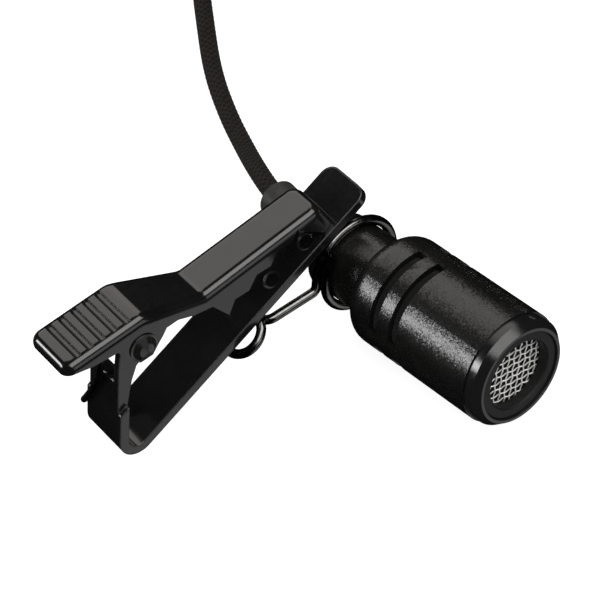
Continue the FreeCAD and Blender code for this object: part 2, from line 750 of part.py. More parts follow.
def make_holder():
    """One wire: through both tunnels, round an eye loop under the plate, along a leg and round the neck."""
    yaw = math.radians(size("clip_yaw"))
    across = Vector(math.cos(yaw), math.sin(yaw), 0)
    rearward = Vector(-math.sin(yaw), math.cos(yaw), 0)
    pitch = 2 * size("wire_radius") + 0.1
    first, last = 160.0, -270.0
    y, z = size("tunnel_y"), size("tunnel_z")

    def eye_place(centre, corner_radius, angle):
        turn = math.radians(angle)
        drop = 1.05 * angle / 345
        return (centre.x + corner_radius * math.cos(turn), centre.y + corner_radius * math.sin(turn), z + drop)

    def ring_place(centre, corner_radius, angle):
        turn = math.radians(angle)
        rise = rearward * (pitch * (angle - last) / 360)
        return tuple(centre + across * (corner_radius * math.cos(turn)) + Vector(0, 0, corner_radius * math.sin(turn)) + rise)

    eye_centre = Vector(size("eye_x"), size("eye_y"), z)
    eye = coil_points(eye_centre, size("eye_radius"), -15.0, -345.0, 8, eye_place)
    ring = coil_points(ring_centre, size("ring_radius"), first, last, 14, ring_place)
    corners = [(-5.7, y, z), (-15.45, y, z)] + eye + [(-15.3, -2.2, z - 1.15), (-9.95, -3.0, -4.1)] + ring
    path, radii = rounded_path(corners, 0.47)
    print("holder_wire radii", [round(radius, 2) for radius in radii])
    shaped("holder_wire", swept(path, size("wire_radius")), clip_place)


# ---------------------------------------------------------------- the cable, its coil and the plug

def from_coil(along, out, height):
    point = coil_centre + plug_way * along + plug_side * out
    return (point.x, point.y, ground + height)


def make_cable():
    coil = next(item for item in sub_parts if item.Label == "cable_coil")
    for label, points in (
        ("cable_lead", cable_points()),
        ("cable_tail", [from_coil(*point) for point in TAIL_ROUTE]),
    ):
        path, radii = rounded_path(points)
        print(label, "radii", [round(radius, 1) for radius in radii], "length", round(path.Length, 1))
        shaped(label, swept(path, size("cable_radius")).cut(coil.Shape))


def make_coil():
    half = "coil_breadth / 2"
    body = turned("cable_coil", sleeve_outline(
        f"coil_middle_radius - {half}", f"coil_middle_radius + {half}", "0", "coil_breadth"))
    rims = edges_where(body.Tip, lambda p: True)
    rims = [name for name in rims if body.Tip.Shape.getElement(name).Curve.TypeId == "Part::GeomCircle"]
    dressed(body, "Fillet", body.Tip, rims, "rounded_rims", "coil_edge_radius")
    body.Placement = Placement(coil_centre + Vector(0, 0, ground + 0.02), Rotation())
    document.recompute()
    reach = size("coil_breadth") + 2 * size("tie_thickness")
    block = Part.makeBox(reach, size("tie_width"), size("coil_breadth") + size("tie_thickness"))
    block.translate(Vector(size("coil_middle_radius") - reach / 2, -size("tie_width") / 2, 0.02))
    tie_place = Placement(coil_centre + Vector(0, 0, ground), Rotation(Vector(0, 0, 1), -110))
    block.Placement = tie_place.multiply(block.Placement)
    shaped("coil_tie", block.cut(body.Shape))


def make_plug():
    start = coil_centre + plug_way * size("plug_start") + plug_side * size("plug_line")
    start.z = ground + size("plug_handle_radius")
    plug_place = Placement(start, Rotation(Vector(0, 0, 1), plug_way))
    relief = "plug_relief_length"
    handle_end = "plug_relief_length + plug_handle_length"
    pieces = {
        "plug_relief": [
            ("0", "0"), ("1.5", "0"), ("2.5", relief), ("2.5", relief + " + 2"), ("0", relief + " + 2"),
        ],
        "plug_handle": [
            ("2.52", relief), ("plug_handle_radius - 0.5", relief), ("plug_handle_radius", relief + " + 0.6"),
            ("plug_handle_radius", handle_end + " - 0.6"), ("plug_handle_radius - 0.5", handle_end),
            ("1.3", handle_end), ("1.3", relief + " + 2.1"), ("2.52", relief + " + 2.1"),
        ],
        "plug_sleeve": [
            ("0.9", relief + " + 2.2"), ("1.28", relief + " + 2.2"), ("1.28", handle_end), ("2.5", handle_end),
            ("2.5", handle_end + " + 1"), ("plug_pin_radius", handle_end + " + 1"),
            ("plug_pin_radius", handle_end + " + 6.4"), ("0.9", handle_end + " + 6.4"),
        ],
        "plug_ring": sleeve_outline("0.9", "plug_pin_radius", handle_end + " + 7.1", handle_end + " + 9.6"),
    }
    for label, vertices in pieces.items():
        turned(label, vertices).Placement = plug_place
    insulators = []
    for step in (6.4, 9.6):
        base = size("plug_relief_length") + size("plug_handle_length") + step
        ring = Part.makeCylinder(size("plug_pin_radius"), 0.7, Vector(0, 0, base))
        insulators.append(ring.cut(Part.makeCylinder(0.9, 0.7, Vector(0, 0, base))))
    shaped("plug_insulators", Part.makeCompound(insulators), plug_place)
    tip = turned("plug_tip", [
        ("0", relief + " + 2.2"), ("0.85", relief + " + 2.2"), ("0.85", handle_end + " + 10.3"),
        ("plug_pin_radius", handle_end + " + 10.3"), ("plug_pin_radius", handle_end + " + 10.7"),
        ("1.25", handle_end + " + 11.5"), ("plug_pin_radius", handle_end + " + 12.3"),
        ("1.45", handle_end + " + 13.1"), ("0.6", handle_end + " + 14"), ("0", handle_end + " + 14"),
    ])
    tip.Placement = plug_place


# ---------------------------------------------------------------- building, checking and writing

def place_microphone_parts():
    for item in sub_parts:
        if item.TypeId == "PartDesign::Body" and item.Placement.isIdentity():
            item.Placement = microphone_place


def check_document():
    for item in document.Objects:
        for word in ("Invalid", "Error"):
            if word in item.State:
                raise RuntimeError(f"{item.Label} is {item.State}")
    for item in sub_parts:
        shape = item.Shape
        if shape.isNull() or not shape.isValid() or shape.Volume <= 0:
            raise RuntimeError(f"{item.Label} has no valid shape")


def write_parts():
    os.makedirs("parts", exist_ok=True)
    for item in sub_parts:
        item.Shape.exportStep(f"parts/{item.Label}.step")
        print(f"{item.Label:16s} {item.Shape.Volume:9.2f} mm3, solids {len(item.Shape.Solids)}")


make_barrel()
make_front()
make_capsule()
make_neck()
place_microphone_parts()
make_leads()
make_boot()
make_clip_base()
make_upper_jaw()
make_pin()
make_spring()
make_holder()
make_coil()
make_cable()
make_plug()
document.recompute()
check_document()
write_parts()
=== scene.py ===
"""The looks of a lavalier microphone on a wire holder and a jaw clip, built around its CAD frame.

Everything is in metres, in the frame of the CAD model: the front of the head points along -Y, and
the floor is the surface that the head lies on.
"""

import json
import math

import bpy
import numpy as np
from mathutils import Matrix, Vector


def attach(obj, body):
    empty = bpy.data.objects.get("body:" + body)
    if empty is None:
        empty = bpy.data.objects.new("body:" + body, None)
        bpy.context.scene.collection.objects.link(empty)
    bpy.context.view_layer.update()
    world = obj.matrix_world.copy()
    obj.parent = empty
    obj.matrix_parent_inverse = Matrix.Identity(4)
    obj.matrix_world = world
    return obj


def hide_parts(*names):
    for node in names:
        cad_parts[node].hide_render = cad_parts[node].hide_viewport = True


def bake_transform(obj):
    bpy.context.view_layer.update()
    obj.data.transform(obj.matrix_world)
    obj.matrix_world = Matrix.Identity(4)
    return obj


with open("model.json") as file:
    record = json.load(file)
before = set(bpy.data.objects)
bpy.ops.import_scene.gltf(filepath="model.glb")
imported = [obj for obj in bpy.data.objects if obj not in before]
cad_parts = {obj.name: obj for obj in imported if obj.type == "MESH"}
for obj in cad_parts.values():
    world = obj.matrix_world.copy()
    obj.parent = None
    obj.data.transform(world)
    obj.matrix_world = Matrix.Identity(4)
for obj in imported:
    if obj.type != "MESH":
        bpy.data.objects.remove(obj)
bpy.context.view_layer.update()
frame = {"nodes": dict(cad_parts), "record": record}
nodes = frame["nodes"]

GROUND = -0.00566
FULL_TURN = 2 * math.pi


# ---------------------------------------------------------------- objects and meshes

def placed(name, data):
    """A new object in the scene that shows this data."""
    made = bpy.data.objects.new(name, data)
    bpy.context.scene.collection.objects.link(made)
    return made


def mesh_piece(name, points, faces, uvs=None):
    """A smooth mesh object. uvs has one pair for each corner of each face, in order."""
    mesh = bpy.data.meshes.new(name)
    mesh.from_pydata([tuple(p) for p in points], [], [tuple(f) for f in faces])
    mesh.polygons.foreach_set("use_smooth", [True] * len(mesh.polygons))
    if uvs is not None:
        layer = mesh.uv_layers.new(name="along")
        layer.data.foreach_set("uv", np.asarray(uvs, float).ravel())
    mesh.update()
    return placed(name, mesh)


def ring_faces(rows, around, first):
    """Faces over rows of points that each go once round, with a cap at both ends."""
    faces = []
    for row in range(rows - 1):
        a, b = first + row * around, first + (row + 1) * around
        faces += [(a + k, a + (k + 1) % around, b + (k + 1) % around, b + k) for k in range(around)]
    last = first + (rows - 1) * around
    faces.append(tuple(first + k for k in reversed(range(around))))
    faces.append(tuple(last + k for k in range(around)))
    return faces


# No line of a tube starts along this way
OFF_LINE = (0.3, 0.1, 1.0)


def frames_along(line):
    """Two unit vectors square to the line at each of its points, turning as little as they can."""
    ways = np.gradient(line, axis=0)
    ways /= np.linalg.norm(ways, axis=1)[:, None]
    side = np.cross(ways[0], OFF_LINE)
    sides = []
    for way in ways:
        side = side - way * side.dot(way)
        side /= np.linalg.norm(side)
        sides.append(side)
    sides = np.array(sides)
    return sides, np.cross(ways, sides)


def tube(line, radius, around, first=0):
    """Points and faces of a tube. radius is a number, or one for each point and corner."""
    line = np.asarray(line, float)
    sides, others = frames_along(line)
    angle = np.arange(around) * FULL_TURN / around
    radius = np.broadcast_to(radius, (len(line), around))
    cosine, sine = np.cos(angle)[None, :, None], np.sin(angle)[None, :, None]
    rings = sides[:, None] * cosine + others[:, None] * sine
    points = (line[:, None] + rings * radius[:, :, None]).reshape(-1, 3)
    return points, ring_faces(len(line), around, first)


def distances(line):
    """How far along the line each of its points is."""
    steps = np.linalg.norm(np.diff(line, axis=0), axis=1)
    return np.concatenate([[0], np.cumsum(steps)])


def resampled(line, stations):
    """The points of a line at these distances along it."""
    along = distances(line)
    return np.stack([np.interp(stations, along, line[:, axis]) for axis in range(3)], axis=1)


# ---------------------------------------------------------------- camera

CAMERA_PLACE = (-0.0955, -0.13415, 0.17359)
CAMERA_RIGHT = (0.7443, -0.64626, -0.16842)
CAMERA_UP = (0.56066, 0.46764, 0.68335)
CAMERA_BACK = (-0.36286, -0.60305, 0.7104)
CAMERA_LENS = 156
SENSOR_WIDTH = 36
CAMERA_REACH = (0.01, 10)


def make_camera():
    """A long lens above and beyond the jaw side of the clip."""
    camera = placed("camera", bpy.data.cameras.new("camera"))
    camera.data.lens = CAMERA_LENS
    camera.data.sensor_width = SENSOR_WIDTH
    camera.data.clip_start, camera.data.clip_end = CAMERA_REACH
    turn = Matrix((CAMERA_RIGHT, CAMERA_UP, CAMERA_BACK)).transposed().to_4x4()
    camera.matrix_world = Matrix.Translation(CAMERA_PLACE) @ turn
    bpy.context.scene.camera = camera


# ---------------------------------------------------------------- the cable

# The route's control points from inside the neck to the coil. Those outside the boot, from the
# third on, are the CAD source's
CABLE_LEAD = [
    (0, 0.0117, 0),
    (0, 0.0201, 0),
    (0.00095, 0.0262, -0.00011),
    (0.0027, 0.0310, -0.00116),
    (0.0052, 0.0364, -0.00366),
    (0.0080, 0.0430, -0.00464),
    (0.0114, 0.0498, -0.00464),
    (0.0162, 0.0569, -0.00464),
    (0.0206, 0.0632, -0.00464),
]
CABLE_RADIUS = 0.001

COIL_CENTRE = Vector((0.0380, 0.0622, GROUND))
COIL_RADII = (0.0145, 0.0125, 0.0105, 0.0085)
COIL_HEIGHTS = (0.00102, 0.00302, 0.00502, 0.00702)
COIL_START = math.atan2(8.7, -11.6)
TURN_POINTS = 16
# The wound length goes on by this many points past its last whole turn, to meet the tail
POINTS_OVER = 3
# The places, by radius and height, that the turns fill: inwards along the floor, then up and down,
# and outwards, so that both ends leave the outside of the coil
TURN_ORDER = [(0, 0), (1, 0), (2, 0), (3, 0), (3, 1), (3, 2), (3, 3), (2, 3), (2, 2), (2, 1),
              (1, 1), (1, 2), (1, 3), (0, 3), (0, 2), (0, 1)]

# From the coil to the plug, measured from the coil's centre: along the plug's way, to its side,
# and above the floor
PLUG_WAY = Vector((0, -1, 0))
PLUG_SIDE = Vector((1, 0, 0))
CABLE_TAIL = [
    (-0.01375, 0.0092, 0.0019),
    (-0.0111, 0.0146, 0.0011),
    (-0.0066, 0.0182, 0.0019),
    (-0.0010, 0.0195, 0.0036),
    (0.0050, 0.0195, 0.0036),
]

# The braid stands in relief on this first length, which takes in the whole lead. The rest is plain,
# and each has its rows of points that far apart
BRAIDED_LENGTH = 0.075
BRAIDED_STEP = 0.00008
PLAIN_STEP = 0.0005
CABLE_SIDES = 40
CORE_DEPTH = 0.00007
BRAID_DEPTH = 0.00009
PLAIN_DEPTH = 0.00006
STRANDS = 8
STRAND_LAY = 0.0068
# How much lower a strand lies where it goes under another
STRAND_DIP = 0.45


def coil_turns():
    """Control points of the wound length, going round clockwise from where the lead comes in."""
    points = []
    # The curve runs inside its control points, so they lie further out by this much
    swell = 1 / (0.75 + 0.25 * math.cos(FULL_TURN / TURN_POINTS))
    last = len(TURN_ORDER) - 1
    for step in range(len(TURN_ORDER) * TURN_POINTS + POINTS_OVER):
        turn, part = divmod(step, TURN_POINTS)
        here = TURN_ORDER[min(turn, last)]
        there = TURN_ORDER[min(turn + 1, last)]
        # It goes over to the next place in the second half of each turn
        share = max(0.0, part / TURN_POINTS - 0.5) * 2
        share = share * share * (3 - 2 * share)
        radius = COIL_RADII[here[0]] * (1 - share) + COIL_RADII[there[0]] * share
        height = COIL_HEIGHTS[here[1]] * (1 - share) + COIL_HEIGHTS[there[1]] * share
        angle = COIL_START - FULL_TURN * step / TURN_POINTS
        out = Vector((math.cos(angle), math.sin(angle), 0)) * radius * swell
        points.append(COIL_CENTRE + out + Vector((0, 0, height)))
    return points


def cable_line():
    """The cable's centreline: points read from one NURBS curve through its route."""
    tail = [COIL_CENTRE + PLUG_WAY * along + PLUG_SIDE * aside + Vector((0, 0, height))
            for along, aside, height in CABLE_TAIL]
    route = [Vector(p) for p in CABLE_LEAD] + coil_turns() + tail
    curve = bpy.data.curves.new("cable_route", "CURVE")
    curve.dimensions = "3D"
    curve.resolution_u = 12
    spline = curve.splines.new("NURBS")
    spline.points.add(len(route) - 1)
    for point, place in zip(spline.points, route):
        point.co = (*place, 1)
    spline.order_u = 3
    spline.use_endpoint_u = True
    holder = placed("cable_route", curve)
    bpy.context.view_layer.update()
    mesh = bpy.data.meshes.new_from_object(holder)
    line = np.array([v.co for v in mesh.vertices])
    bpy.data.objects.remove(holder)
    bpy.data.meshes.remove(mesh)
    bpy.data.curves.remove(curve)
    return line


def braid_relief(along, turn):
    """How high the braid's strands stand at each distance along and angle round, from 0 to 1."""
    twist = FULL_TURN * along / STRAND_LAY
    one = np.cos(STRANDS * (turn + twist) / 2)
    two = np.cos(STRANDS * (turn - twist) / 2)
    over = 0.5 + 0.5 * one * two
    crest_one = np.abs(one) * (1 - STRAND_DIP + STRAND_DIP * over)
    crest_two = np.abs(two) * (1 - STRAND_DIP * over)
    return np.maximum(crest_one, crest_two)


def cable_uvs(stations):
    """Round the cable, and along it in lays of a strand, for the corners of a tube's faces."""
    lays = stations / STRAND_LAY
    uvs = []
    for low, high in zip(lays, lays[1:]):
        for k in range(CABLE_SIDES):
            a, b = k / CABLE_SIDES, (k + 1) / CABLE_SIDES
            uvs += [(a, low), (b, low), (b, high), (a, high)]
    for end in (lays[0], lays[-1]):
        uvs += [(0.5, end)] * CABLE_SIDES
    return uvs


def make_cable(strap):
    """The whole cable in one mesh, from the neck to the plug."""
    line = cable_line()
    length = distances(line)[-1]
    stations = np.concatenate([np.arange(0, BRAIDED_LENGTH, BRAIDED_STEP),
                               np.arange(BRAIDED_LENGTH, length, PLAIN_STEP), [length]])
    line = resampled(line, stations)
    turn = np.arange(CABLE_SIDES) * FULL_TURN / CABLE_SIDES
    relief = braid_relief(stations[:, None], turn[None, :]) * BRAID_DEPTH
    braided = (stations < BRAIDED_LENGTH)[:, None]
    radius = CABLE_RADIUS - CORE_DEPTH + np.where(braided, relief, PLAIN_DEPTH)
    points, faces = tube(line, radius, CABLE_SIDES)
    cable = mesh_piece("braided_cable", points, faces, cable_uvs(stations))
    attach(cable, "microphone")
    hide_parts("cable_lead", "cable_coil", "cable_tail")
    return cable


# ---------------------------------------------------------------- the strap round the coil

STRAP_ANGLE = math.radians(-110)
STRAP_WIDTH = 0.005
STRAP_THICKNESS = 0.0006
STRAP_GAP = 0.00006
LAYER_GAP = 0.00002
# How far the band's ends go round under the lowest turns, and how deep it sinks between two turns
STRAP_TUCK = math.radians(33)
STRAP_SINK = 0.00009
STRAP_SIDE_STEPS = 36
STRAP_CORNER_POINTS = 12
# The share of the band's points that the tongue covers, and the shape of its tip
TONGUE_SPAN = (0.40, 0.86)
TONGUE_ROUND = 0.0015
TONGUE_TIP = 0.62


def strap_path(offset):
    """(radius, height) points over the bundle, that far out from its outer turns' centrelines."""
    inner, outer = COIL_RADII[-1], COIL_RADII[0]
    bottom, top = COIL_HEIGHTS[0], COIL_HEIGHTS[-1]
    quarter = math.pi / 2
    corners = [
        (inner, bottom, math.pi + STRAP_TUCK, math.pi),
        (inner, top, math.pi, quarter),
        (outer, top, quarter, 0),
        (outer, bottom, 0, -STRAP_TUCK),
    ]
    hollows = len(COIL_RADII) - 1
    path = []
    for number, (radius, height, start, end) in enumerate(corners):
        if number:
            before = np.array(path[-1])
            out = np.array((math.cos(start), math.sin(start)))
            after = np.array((radius, height)) + out * offset
            for share in np.arange(1, STRAP_SIDE_STEPS) / STRAP_SIDE_STEPS:
                sink = STRAP_SINK * math.sin(math.pi * hollows * share) ** 2
                path.append(tuple(before + (after - before) * share - out * sink))
        for angle in np.linspace(start, end, STRAP_CORNER_POINTS):
            path.append((radius + offset * math.cos(angle), height + offset * math.sin(angle)))
    return np.array(path)


def band_section():
    """(across, outwards) points round a flat band with rounded edges."""
    half, edge = STRAP_WIDTH / 2, STRAP_THICKNESS / 2
    flat = [(u, edge) for u in np.linspace(edge - half, half - edge, 9)]
    bend = [(half - edge + edge * math.cos(a), edge * math.sin(a))
            for a in np.linspace(math.pi / 2, -math.pi / 2, 7)[1:-1]]
    upper = flat + bend
    return upper + [(-u, -v) for u, v in upper]


def band(path, first, tip=False):
    """Points and faces of a band that follows the path. With tip, it starts as a rounded tongue."""
    section = band_section()
    along = np.gradient(path, axis=0)
    along /= np.linalg.norm(along, axis=1)[:, None]
    out = Vector((math.cos(STRAP_ANGLE), math.sin(STRAP_ANGLE), 0))
    across = Vector((-out.y, out.x, 0))
    points = []
    for (radius, height), (rise_out, rise_up), station in zip(path, along, distances(path)):
        share = min(1.0, station / TONGUE_ROUND) if tip else 1.0
        width = TONGUE_TIP + (1 - TONGUE_TIP) * math.sqrt(1 - (1 - share) ** 2)
        middle = COIL_CENTRE + out * float(radius) + Vector((0, 0, float(height)))
        normal = out * float(-rise_up) + Vector((0, 0, float(rise_out)))
        points += [tuple(middle + across * float(u * width) + normal * float(v))
                   for u, v in section]
    return points, ring_faces(len(path), len(section), first)


def make_strap():
    """A hook and loop strap over the coil, with its tongue pressed down on top."""
    offset = CABLE_RADIUS + STRAP_GAP + STRAP_THICKNESS / 2
    points, faces = band(strap_path(offset), 0)
    path = strap_path(offset + STRAP_THICKNESS + LAYER_GAP)
    low, high = (int(len(path) * share) for share in TONGUE_SPAN)
    more, more_faces = band(path[low:high], len(points), tip=True)
    strap = mesh_piece("hook_loop_strap", points + more, faces + more_faces)
    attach(strap, "microphone")
    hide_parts("coil_tie")
    return strap


# ---------------------------------------------------------------- the front grille

WIRE_RADIUS = 0.000065
WIRE_PITCH = 0.0007
WIRE_SIDES = 8
STEPS_IN_PITCH = 12
GRILLE_RADIUS = 0.0044
GRILLE_STATION = -0.0082
WEAVE_SLANT = -17


def make_grille():
    """A plain weave: each wire goes over one wire of the other set and under the next."""
    points, faces = [], []
    reach = int(GRILLE_RADIUS / WIRE_PITCH) + 1
    for slant in (math.radians(WEAVE_SLANT), math.radians(WEAVE_SLANT + 90)):
        way = Vector((math.cos(slant), 0, math.sin(slant)))
        side = Vector((-way.z, 0, way.x))
        for number in range(-reach, reach + 1):
            offset = (number + 0.5) * WIRE_PITCH
            half = math.sqrt(max(0.0, GRILLE_RADIUS ** 2 - offset ** 2))
            if half < WIRE_PITCH / 2:
                continue
            line = []
            for station in np.arange(-half, half, WIRE_PITCH / STEPS_IN_PITCH):
                lift = WIRE_RADIUS * math.sin(math.pi * (station / WIRE_PITCH + number))
                depth = Vector((0, GRILLE_STATION + lift, 0))
                line.append(tuple(way * float(station) + side * offset + depth))
            more, more_faces = tube(line, WIRE_RADIUS, WIRE_SIDES, first=len(points))
            points += [tuple(p) for p in more]
            faces += more_faces
    grille = mesh_piece("woven_grille", points, faces)
    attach(grille, "microphone")
    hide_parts("mesh_grille")
    return grille


# ---------------------------------------------------------------- the jaw's spring


def make_spring():
    """The spring, a copy of the CAD spring's mesh set in place, with its leg under the pad."""
    spring = placed("torsion_spring", nodes["jaw_spring"].data.copy())
    joints = {joint["name"]: joint for joint in frame["record"]["behaviour"]["joints"]}
    up = Vector(joints["clip_swing"]["axis"]).cross(Vector(joints["jaw_open"]["axis"])).normalized()
    if up.z < 0:
        up.negate()
    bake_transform(spring)
    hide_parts("jaw_spring")
    return spring


# ---------------------------------------------------------------- materials

def grey(level):
    return (level, level, level)


class Look:
    """A material on one shader, with short calls for the nodes that feed it."""

    def __init__(self, name, colour, roughness, **values):
        self.material = bpy.data.materials.new(name)
        self.material.use_nodes = True
        self.tree = self.material.node_tree
        self.shader = self.tree.nodes["Principled BSDF"]
        self.shader.inputs["Base Color"].default_value = (*colour, 1)
        self.shader.inputs["Roughness"].default_value = roughness
        for socket, value in values.items():
            self.shader.inputs[socket.replace("_", " ")].default_value = value
        self.colour = colour
        self.roughness = roughness
        self.place = self.add("ShaderNodeTexCoord").outputs["Object"]

    def add(self, kind, inputs=None, **settings):
        """A new node, with links or values for its inputs."""
        made = self.tree.nodes.new(kind)
        for key, value in settings.items():
            setattr(made, key, value)
        for key, value in (inputs or {}).items():
            if isinstance(value, bpy.types.NodeSocket):
                self.tree.links.new(value, made.inputs[key])
            else:
                made.inputs[key].default_value = value
        return made

    def maths(self, operation, a, b=0.0, c=0.0):
        return self.add("ShaderNodeMath", {0: a, 1: b, 2: c}, operation=operation).outputs[0]

    def noise(self, size, detail=2.0, stretch=None, rough=0.5):
        """Noise with features of about this size in metres."""
        place = self.place
        if stretch:
            place = self.add("ShaderNodeMapping", {"Vector": place, "Scale": stretch}).outputs[0]
        made = self.add("ShaderNodeTexNoise", {
            "Vector": place, "Scale": 1 / size, "Detail": detail, "Roughness": rough})
        return made.outputs["Fac"]

    def cells(self, size, output):
        """An output of a cell pattern, with cells of this size in metres."""
        made = self.add("ShaderNodeTexVoronoi", {"Vector": self.place, "Scale": 1 / size})
        return made.outputs[output]

    def turned_lines(self, size):
        """Fine rings round the head's axis, as a lathe leaves them."""
        split = self.add("ShaderNodeSeparateXYZ", {0: self.place})
        squares = self.maths("ADD", self.maths("POWER", split.outputs["X"], 2.0),
                             self.maths("POWER", split.outputs["Z"], 2.0))
        place = self.add("ShaderNodeCombineXYZ", {
            "X": self.maths("SQRT", squares), "Y": split.outputs["Y"]})
        made = self.add("ShaderNodeTexNoise", {
            "Vector": place.outputs[0], "Scale": 1 / size, "Detail": 2.0})
        return made.outputs["Fac"]

    def edge_share(self, radius, low=0.02, high=0.25):
        """1 near sharp edges and 0 away from them."""
        rounded = self.add("ShaderNodeBevel", {"Radius": radius}, samples=8).outputs[0]
        normal = self.add("ShaderNodeNewGeometry").outputs["True Normal"]
        dot = self.add("ShaderNodeVectorMath", {0: rounded, 1: normal}, operation="DOT_PRODUCT")
        return self.ramp(self.maths("SUBTRACT", 1.0, dot.outputs["Value"]), low, high)

    def ramp(self, value, low, high, to_high=1.0):
        """0 where the value is low or less, rising to to_high where it is high or more."""
        made = self.add("ShaderNodeMapRange", {
            "Value": value, "From Min": low, "From Max": high, "To Min": 0.0, "To Max": to_high})
        return made.outputs[0]

    def tint(self, share, other):
        """The colour goes to another one where share is 1."""
        base = self.shader.inputs["Base Color"]
        now = base.links[0].from_socket if base.links else (*self.colour, 1)
        mix = self.add("ShaderNodeMix", {0: share, 6: now, 7: (*other, 1)}, data_type="RGBA")
        self.tree.links.new(mix.outputs[2], base)

    def vary_roughness(self, share, other):
        """The roughness goes to another one where share is 1."""
        socket = self.shader.inputs["Roughness"]
        now = socket.links[0].from_socket if socket.links else self.roughness
        mix = self.add("ShaderNodeMix", {0: share, 2: now, 3: other}, data_type="FLOAT")
        self.tree.links.new(mix.outputs[0], socket)

    def bump(self, height, depth):
        """A relief of this depth in metres, over the reliefs added before."""
        socket = self.shader.inputs["Normal"]
        inputs = {"Height": height, "Distance": depth}
        if socket.links:
            inputs["Normal"] = socket.links[0].from_socket
        made = self.add("ShaderNodeBump", inputs)
        self.tree.links.new(made.outputs[0], socket)

    def patches(self, size, other, low, high, most=1.0, detail=2.0):
        """Another colour in patches of about this size, where noise goes from low to high."""
        self.tint(self.ramp(self.noise(size, detail), low, high, most), other)

    def dull_patches(self, size, other, low=0.4, high=0.7, detail=2.0):
        """Another roughness in patches of about this size."""
        self.vary_roughness(self.ramp(self.noise(size, detail), low, high), other)

    def grain(self, size, depth, detail=2.0, stretch=None):
        """A relief of noise with features of about this size."""
        self.bump(self.noise(size, detail, stretch), depth)

    def flakes(self, size, tilt):
        """Tiny facets, each tilted its own way, as on blasted metal. Called after a relief."""
        spread = self.add("ShaderNodeVectorMath", {0: self.cells(size, "Color"), 1: grey(0.5)},
                          operation="SUBTRACT").outputs[0]
        socket = self.shader.inputs["Normal"]
        tilted = self.add("ShaderNodeVectorMath", {
            0: spread, 1: grey(tilt), 2: socket.links[0].from_socket}, operation="MULTIPLY_ADD")
        unit = self.add("ShaderNodeVectorMath", {0: tilted.outputs[0]}, operation="NORMALIZE")
        self.tree.links.new(unit.outputs[0], socket)

    def soft_edges(self, radius):
        """Sharp edges catch the light as if rounded to this radius. Called before any relief."""
        made = self.add("ShaderNodeBevel", {"Radius": radius}, samples=8)
        self.tree.links.new(made.outputs[0], self.shader.inputs["Normal"])


def anodised_black():
    look = Look("black_anodised", (0.004, 0.0039, 0.0038), 0.25, Specular_IOR_Level=0.6)
    look.dull_patches(0.0002, 0.3, 0.35, 0.65)
    # Tiny paler specks: a painted sparkle, glints painted onto the blasted surface
    look.patches(0.00018, (0.012, 0.0117, 0.011), 0.64, 0.72, detail=1.0)
    look.patches(0.003, (0.009, 0.0086, 0.008), 0.45, 0.7, 0.5)
    look.grain(0.0003, 0.000006)
    look.flakes(0.0001, 0.16)
    return look


def polished_bezel():
    look = Look("bezel_anodised", (0.0065, 0.0065, 0.0068), 0.16, Specular_IOR_Level=0.6)
    look.tint(look.ramp(look.turned_lines(0.00005), 0.5, 0.8, 0.6), grey(0.014))
    look.dull_patches(0.0008, 0.24)
    look.bump(look.turned_lines(0.00007), 0.000003)
    return look


def matte_washer():
    look = Look("washer_black", grey(0.0052), 0.55, Specular_IOR_Level=0.35)
    look.patches(0.0003, (0.012, 0.012, 0.0115), 0.5, 0.75, 0.7)
    look.grain(0.0002, 0.00001, detail=3.0)
    return look


def bright_wire():
    look = Look("mesh_wire", (0.95, 0.94, 0.92), 0.33, Metallic=0.5)
    look.patches(0.0006, (0.55, 0.54, 0.52), 0.5, 0.75, 0.7)
    look.dull_patches(0.0003, 0.45)
    look.grain(0.00008, 0.000004)
    return look


def dark_foam():
    look = Look("foam", (0.012, 0.0118, 0.0112), 0.95, Specular_IOR_Level=0.2)
    bubbles = look.cells(0.00035, "Distance")
    look.tint(look.ramp(bubbles, 0.1, 0.5), grey(0.003))
    look.bump(bubbles, 0.0001)
    return look


def capsule_aluminium():
    look = Look("capsule_metal", (0.72, 0.72, 0.73), 0.32, Metallic=1.0)
    lines = look.turned_lines(0.00006)
    look.tint(look.ramp(lines, 0.4, 0.7, 0.6), (0.5, 0.5, 0.51))
    look.vary_roughness(look.ramp(lines, 0.4, 0.7), 0.45)
    look.bump(lines, 0.000004)
    return look


def green_board():
    """Glass weave under green lacquer, with patches of bare copper."""
    look = Look("circuit_board", (0.012, 0.075, 0.03), 0.3, Specular_IOR_Level=0.5)
    weave = look.maths("MULTIPLY", look.noise(0.0002, stretch=(6, 1, 1)),
                       look.noise(0.0002, stretch=(1, 1, 6)))
    look.tint(look.ramp(weave, 0.2, 0.35), (0.02, 0.1, 0.045))
    look.patches(0.0012, (0.45, 0.33, 0.12), 0.56, 0.58, detail=0.0)
    look.bump(weave, 0.00001)
    return look


def rubber(name, colour, worn, roughness):
    look = Look(name, colour, roughness, Specular_IOR_Level=0.3, Sheen_Weight=0.02,
                Sheen_Roughness=0.5)
    look.patches(0.0009, worn, 0.42, 0.72, 0.8, detail=4.0)
    look.dull_patches(0.0005, roughness + 0.12)
    look.grain(0.0001, 0.000012, detail=3.0)
    return look


def solder():
    look = Look("solder", (0.62, 0.62, 0.61), 0.22, Metallic=1.0)
    look.dull_patches(0.0002, 0.4)
    look.patches(0.0003, (0.42, 0.41, 0.38), 0.5, 0.8)
    look.grain(0.00025, 0.00002)
    return look


def enamelled_wire():
    look = Look("enamelled_wire", (0.32, 0.035, 0.02), 0.25, Coat_Weight=0.4)
    look.patches(0.0006, (0.18, 0.02, 0.012), 0.45, 0.7)
    look.grain(0.0002, 0.00001)
    return look


